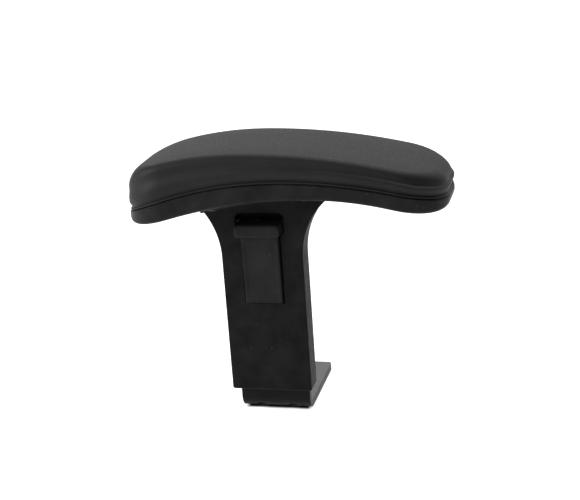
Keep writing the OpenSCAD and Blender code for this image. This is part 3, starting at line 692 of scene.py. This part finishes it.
def paddle_rows():
    """Heights up the paddle, each with how far its rolled bottom edge falls back there."""
    start, end = PADDLE_Z0 + 0.9, LIP_Z[0] + 1
    rows = [(PADDLE_Z0, 0.6), (PADDLE_Z0 + 0.15, 0.3), (PADDLE_Z0 + 0.5, 0.06), (start, 0.0)]
    return rows + [(start + (end - start) * i / 24, 0.0) for i in range(1, 25)]


def paddle_dish(x, t):
    """Depth of the hollow inside the paddle's rim, t going from 0 at its bottom to 1 at the lip."""
    rim = min(1.0, max(0.0, (PADDLE_HW - 1.6 - abs(x)) / 1.8)) * min(1.0, max(0.0, t / 0.03))
    hollow = (1 - (x / PADDLE_HW) ** 2) * math.sin(math.pi * min(1, max(0, t)))
    return 0.45 * rim * rim * (3 - 2 * rim) + 0.4 * hollow


def make_paddle():
    """Paddle: a plate with rolled edges and a shallow hollow, which stands out less at its bottom."""
    columns, rows = paddle_columns(), paddle_rows()
    verts, faces = [], []
    for z, low in rows:
        t = (z - PADDLE_Z0) / (LIP_Z[0] - PADDLE_Z0)
        front = PADDLE_FRONT[0] + (PADDLE_FRONT[1] - PADDLE_FRONT[0]) * min(1, t)
        for x, d in columns:
            verts.append(to_row(x, front + max(d * 0.9, low) + paddle_dish(x, t), z))
    base, cols, last = len(verts), len(columns), (len(rows) - 1) * len(columns)
    verts += [to_row(x, PADDLE_BACK, z) for z, _ in rows for x, _ in columns]
    for row in range(0, last, cols):
        for a in range(row, row + cols - 1):
            faces.append((a, a + 1, a + cols + 1, a + cols))
            faces.append((base + a, base + a + cols, base + a + cols + 1, base + a + 1))
    for row in range(0, last, cols):
        for a in (row, row + cols - 1):
            faces.append((a, a + cols, base + a + cols, base + a))
    for i in range(cols - 1):
        for a in (i, last + i):
            faces.append((a, base + a, base + a + 1, a + 1))
    return new_object("paddle", verts, faces, smooth=False)


def lever_back():
    """The carrier plate, and on each side the paddle's wall, a cheek for the cam slot and an ear."""
    parts = [box_mm("carrier", (-21.6, 21.6), (3.1, 5.1), (LOCK_Z - 20, LIP_Z[1]))]
    for s in (-1, 1):
        for name, x, y, z in (("side", (13.0, PADDLE_HW), (-1.65, 3.15), (PADDLE_Z0, LIP_Z[0] + 0.2)),
                              ("cheek", (10.2, 13.05), (-1.65, 6.8), (LOCK_Z - 8, LOCK_Z + 8.5)),
                              ("ear", (21.55, 27.2), (3.1, 6.8), (LOCK_Z - 2, LOCK_Z + 2))):
            parts.append(box_mm(name, sorted((s * x[0], s * x[1])), y, z))
    return parts


def cam_slot():
    """The cross pin's slot through both cheeks: it slopes so that lifting the lever draws the pin back."""
    r, half_run = 1.4, 12.95
    y0, z0 = 4.9, LOCK_Z + 4.4
    y1, z1 = y0 - 4.2, z0 - 5.0
    way = math.atan2(z1 - z0, y1 - y0)
    outline = []
    for y, z, start in ((y0, z0, way + math.pi / 2), (y1, z1, way - math.pi / 2)):
        turns = [start + math.pi * i / 12 for i in range(13)]
        outline += [(y + r * math.cos(a), z + r * math.sin(a)) for a in turns]
    m = len(outline)
    verts = [to_row(x, y, z) for x in (-half_run, half_run) for y, z in outline]
    faces = [(i, (i + 1) % m, m + (i + 1) % m, m + i) for i in range(m)]
    faces += [tuple(range(m)), tuple(range(m, 2 * m))]
    return new_object("slot", verts, faces, smooth=False)


def make_lever():
    lever = make_lip()
    boolean(lever, [make_paddle()] + lever_back(), "UNION")
    window = box_mm("window", (-10.2, 10.2), (1.2, 10), (LOCK_Z - 12, LOCK_Z + 7))
    boolean(lever, [window, cam_slot()])
    return crisp(lever, 35)


# ---------------------------------------------------------------- bracket

def bar_path():
    """The bar's middle line from its top to its toe: y, z and the way to the inside of the bend."""
    down = [(BAR_Y + BAR_T / 2, z, (1, 0)) for z in (BAR_TOP, BAR_TOP - BAR_EDGE, 100, 50, 10)]
    middle = BEND_R + BAR_T / 2
    bend = [(BEND_Y - middle * math.cos(a), BEND_Z - middle * math.sin(a), (math.cos(a), math.sin(a)))
            for a in (math.pi / 2 * i / 16 for i in range(17))]
    along = [(y, FOOT_Z - BAR_T / 2, (0, 1)) for y in (60, TOE_Y - BAR_EDGE, TOE_Y)]
    return down + bend + along


def bar_section():
    """The bar's width and thickness as an outline with rounded edges."""
    out = []
    for sx, st, a0 in ((1, 1, 0), (-1, 1, 90), (-1, -1, 180), (1, -1, 270)):
        for i in range(4):
            a = math.radians(a0 + 30 * i)
            out.append((sx * (BAR_HW - BAR_EDGE) + BAR_EDGE * math.cos(a),
                        st * (BAR_T / 2 - BAR_EDGE) + BAR_EDGE * math.sin(a)))
    return out


def sweep_bar():
    path, section = bar_path(), bar_section()
    n, last = len(section), len(path) - 1
    verts, faces = [], []
    for k, (y, z, inward) in enumerate(path):
        squeeze = BAR_EDGE if k in (0, last) else 0.0
        for x, t in section:
            x -= math.copysign(min(squeeze, abs(x)), x)
            t -= math.copysign(min(squeeze, abs(t)), t)
            verts.append(to_row(x, y + inward[0] * t, z + inward[1] * t))
    for k in range(last):
        for i in range(n):
            a, b = k * n + i, k * n + (i + 1) % n
            faces.append((a, b, b + n, a + n))
    faces += [tuple(range(n)), tuple(range(last * n, (last + 1) * n))]
    return new_object("bracket", verts, faces, smooth=False)


def corner_cutter(side, at_toe):
    """Rounds one corner of the bar, at the toe or at the top."""
    reach, over = 5.0, 0.3
    outline = [(over, over)]
    outline += [(BAR_CORNER_R * (math.sin(a) - 1), BAR_CORNER_R * (math.cos(a) - 1))
                for a in (math.pi / 2 * i / 8 for i in range(9))]
    m = len(outline)
    verts = []
    for way in (-1, 1):
        for u, v in outline:
            x = side * (BAR_HW + u)
            if at_toe:
                verts.append(to_row(x, TOE_Y + v, FOOT_Z - BAR_T / 2 + way * reach))
            else:
                verts.append(to_row(x, BAR_Y + BAR_T / 2 + way * reach, BAR_TOP + v))
    faces = [(i, (i + 1) % m, m + (i + 1) % m, m + i) for i in range(m)]
    faces += [tuple(range(m)), tuple(range(m, 2 * m))]
    return new_object("corner", verts, faces, smooth=False)


def slot_cutters(side):
    """A slot that runs along the foot and up round the bend, with round ends."""
    x0, over = side * SLOT_X, 1.0
    toe_end = TOE_Y - SLOT_END - SLOT_R
    inside, outside = BEND_R - over, BEND_R + BAR_T + over
    outer = BEND_R + BAR_T
    end = math.asin((outer - 1.8) / outer) - math.asin(SLOT_R / outer)
    low, high = FOOT_Z - BAR_T - over, FOOT_Z + over
    cutters = [cylinder_mm("slot", (x0, toe_end, low), (0, 0, 1), SLOT_R, BAR_T + 2 * over)]
    sections = [[(toe_end, low), (toe_end, high)], [(BEND_Y, low), (BEND_Y, high)]]
    for a in (end * i / 14 for i in range(1, 15)):
        sections.append([(BEND_Y - r * math.sin(a), BEND_Z - r * math.cos(a)) for r in (outside, inside)])
    verts = [to_row(x0 + dx, y, z) for section in sections for y, z in section for dx in (-SLOT_R, SLOT_R)]
    faces = []
    for a in range(0, 4 * (len(sections) - 1), 4):
        faces += [(a + p, a + q, a + 4 + q, a + 4 + p) for p, q in ((0, 1), (1, 3), (3, 2), (2, 0))]
    faces += [(0, 1, 3, 2), tuple(4 * (len(sections) - 1) + i for i in (0, 1, 3, 2))]
    cutters.append(new_object("slot", verts, faces, smooth=False))
    out = (0, -math.sin(end), -math.cos(end))
    start = (x0, BEND_Y + inside * out[1], BEND_Z + inside * out[2])
    cutters.append(cylinder_mm("slot", start, out, SLOT_R, outside - inside))
    return cutters


def make_bracket():
    """Bent bar with rounded edges, swept along its middle line, then slotted and drilled."""
    bar = sweep_bar()
    before, drill = BAR_Y - 4.5, 15.0
    cutters = []
    for side in (-1, 1):
        cutters += [corner_cutter(side, True), corner_cutter(side, False)]
        cutters += slot_cutters(side)
        cutters.append(cylinder_mm("rivet", (side * RIVET_X, before, RIVET_Z), (0, 1, 0), RIVET_R, drill))
    for i in range(7):
        cutters.append(cylinder_mm("hole", (0, before, LOCK_Z + HOLE_PITCH * i), (0, 1, 0), HOLE_R, drill))
    boolean(bar, cutters)
    return crisp(bar, 35)


# ---------------------------------------------------------------- the pieces

cushion = finish_piece(make_cushion(), "sleeve", "black_urethane_skin", "pad_cushion")
finish_piece(make_base_shell(), "sleeve", "black_base_plastic", "pad_base_shell")
finish_piece(make_sleeve(), "sleeve", "black_textured_plastic", "sleeve_shell")
finish_piece(make_lever(), "lever", "black_lever_plastic", "release_lever")
finish_piece(make_bracket(), "bracket", "black_powder_coated_steel", "steel_bracket")

# the CAD pieces that keep their shape
slots = {part["node"]: part["material_slot"] for part in frame["record"]["subparts"]}
for name, node in frame["nodes"].items():
    node.data.materials.clear()
    node.data.materials.append(MATERIALS[slots[name]])

# ---------------------------------------------------------------- stage, light and camera

bpy.context.scene.view_settings.view_transform = "Standard"


def paper_material():
    """White paper that glows evenly, with a painted shadow under the foot, where its glow fades out and its
    colour darkens.
    """
    mat, nodes, links, shader = material("floor", grey(0.5), 0.9, 0.0)
    half = (0.023, (bar_box[1][1] - bar_box[0][1]) / 2 - 0.007)      # half the size of the painted shadow under the foot
    middle_y = (bar_box[0][1] + bar_box[1][1]) / 2
    fade, glow = 0.005, 0.85
    # painted shadow: inside a rounded rectangle under the foot the glow and the colour fade to dark
    split = nodes.new("ShaderNodeSeparateXYZ")
    links.new(object_coords(nodes), split.inputs[0])
    squares = []
    for axis, middle, reach in (("X", 0.0, half[0]), ("Y", middle_y, half[1])):
        offset = math_node(nodes, links, "SUBTRACT", split.outputs[axis], middle)
        past = math_node(nodes, links, "SUBTRACT", math_node(nodes, links, "ABSOLUTE", offset, 0), reach)
        outside = math_node(nodes, links, "MAXIMUM", past, 0.0)
        squares.append(math_node(nodes, links, "MULTIPLY", outside, outside))
    painted_shadow_ease = nodes.new("ShaderNodeMapRange")
    painted_shadow_ease.interpolation_type = "SMOOTHSTEP"
    painted_shadow_ease.inputs["From Min"].default_value = 0.0
    painted_shadow_ease.inputs["From Max"].default_value = fade
    painted_shadow_ease.inputs["To Max"].default_value = glow
    total = math_node(nodes, links, "ADD", *squares)
    links.new(math_node(nodes, links, "SQRT", total, 0), painted_shadow_ease.inputs["Value"])
    shader.inputs["Emission Color"].default_value = (1, 1, 1, 1)
    links.new(painted_shadow_ease.outputs["Result"], shader.inputs["Emission Strength"])
    # painted shadow: the paper's colour goes dark where its glow fades
    painted_shadow_colour = ramp(nodes, links, painted_shadow_ease.outputs["Result"], grey(0.02), grey(0.5), 0.0, glow)
    links.new(painted_shadow_colour, shader.inputs["Base Color"])
    return mat


def make_floor():
    z, far = FLOOR_Z - 0.0004, 6
    corners = [(-far, -far, z), (far, -far, z), (far, far, z), (-far, far, z)]
    floor = new_object("floor", corners, [(0, 1, 2, 3)], smooth=False)
    floor.data.materials.append(paper_material())


def make_sky():
    """Studio surroundings, brightest low behind the arm and dim overhead."""
    world = bpy.data.worlds.new("studio")
    bpy.context.scene.world = world
    world.use_nodes = True
    nodes, links = world.node_tree.nodes, world.node_tree.links
    background = nodes["Background"]
    split = nodes.new("ShaderNodeSeparateXYZ")
    links.new(nodes.new("ShaderNodeTexCoord").outputs["Generated"], split.inputs[0])
    sky = nodes.new("ShaderNodeValToRGB")
    for position, value in ((0.0, 0.30), (0.45, 0.16), (0.62, 0.16), (0.86, 0.62), (0.95, 1.0)):
        stop = sky.color_ramp.elements[0] if position == 0.0 else sky.color_ramp.elements.new(position)
        stop.color = (*grey(value), 1)
    sky.color_ramp.elements.remove(sky.color_ramp.elements[-1])
    remap = nodes.new("ShaderNodeMapRange")
    remap.inputs["From Min"].default_value = -1
    remap.inputs["From Max"].default_value = 1
    links.new(split.outputs["Y"], remap.inputs["Value"])
    links.new(remap.outputs["Result"], sky.inputs["Fac"])
    links.new(sky.outputs["Color"], background.inputs["Color"])
    background.inputs["Strength"].default_value = 1.25


def softbox(name, at, target, size, power):
    light = bpy.data.lights.new(name, "AREA")
    light.shape = "RECTANGLE"
    light.size, light.size_y = size
    light.energy = power
    obj = bpy.data.objects.new(name, light)
    obj.location = at
    obj.rotation_mode = "QUATERNION"
    obj.rotation_quaternion = (Vector(target) - Vector(at)).to_track_quat("-Z", "Y")
    bpy.context.collection.objects.link(obj)
    return obj


def make_camera():
    """The camera stands where the photograph's camera stood: turned, tilted and slightly rolled."""
    azimuth, elevation, roll = (math.radians(v) for v in (14.6, 18.5, 4.0))
    lens, sensor = 82.676, 36.0
    at = to_row(258.7, -908.3, 429.4)
    backward = Vector((math.sin(azimuth) * math.cos(elevation), -math.cos(azimuth) * math.cos(elevation),
                       math.sin(elevation)))
    right = Vector((math.cos(azimuth), math.sin(azimuth), 0))
    up = backward.cross(right)
    rolled_right = math.cos(roll) * right - math.sin(roll) * up
    rolled_up = math.sin(roll) * right + math.cos(roll) * up
    data = bpy.data.cameras.new("camera")
    data.sensor_width = sensor
    data.lens = lens
    camera = bpy.data.objects.new("camera", data)
    rows = [(rolled_right[i], rolled_up[i], backward[i], at[i]) for i in range(3)]
    camera.matrix_world = Matrix(rows + [(0, 0, 0, 1)])
    bpy.context.collection.objects.link(camera)
    bpy.context.scene.camera = camera


make_floor()
make_sky()
centre = (cad_box[0] + cad_box[1]) / 2
softbox("top", (0.1, 0.5, 1.5), centre, (1.6, 1.0), 20)
softbox("left", (-1.4, -0.5, 0.75), centre, (0.5, 0.7), 19)
softbox("front", (-0.5, -1.4, 1.0), centre, (1.4, 0.3), 8)
make_camera()
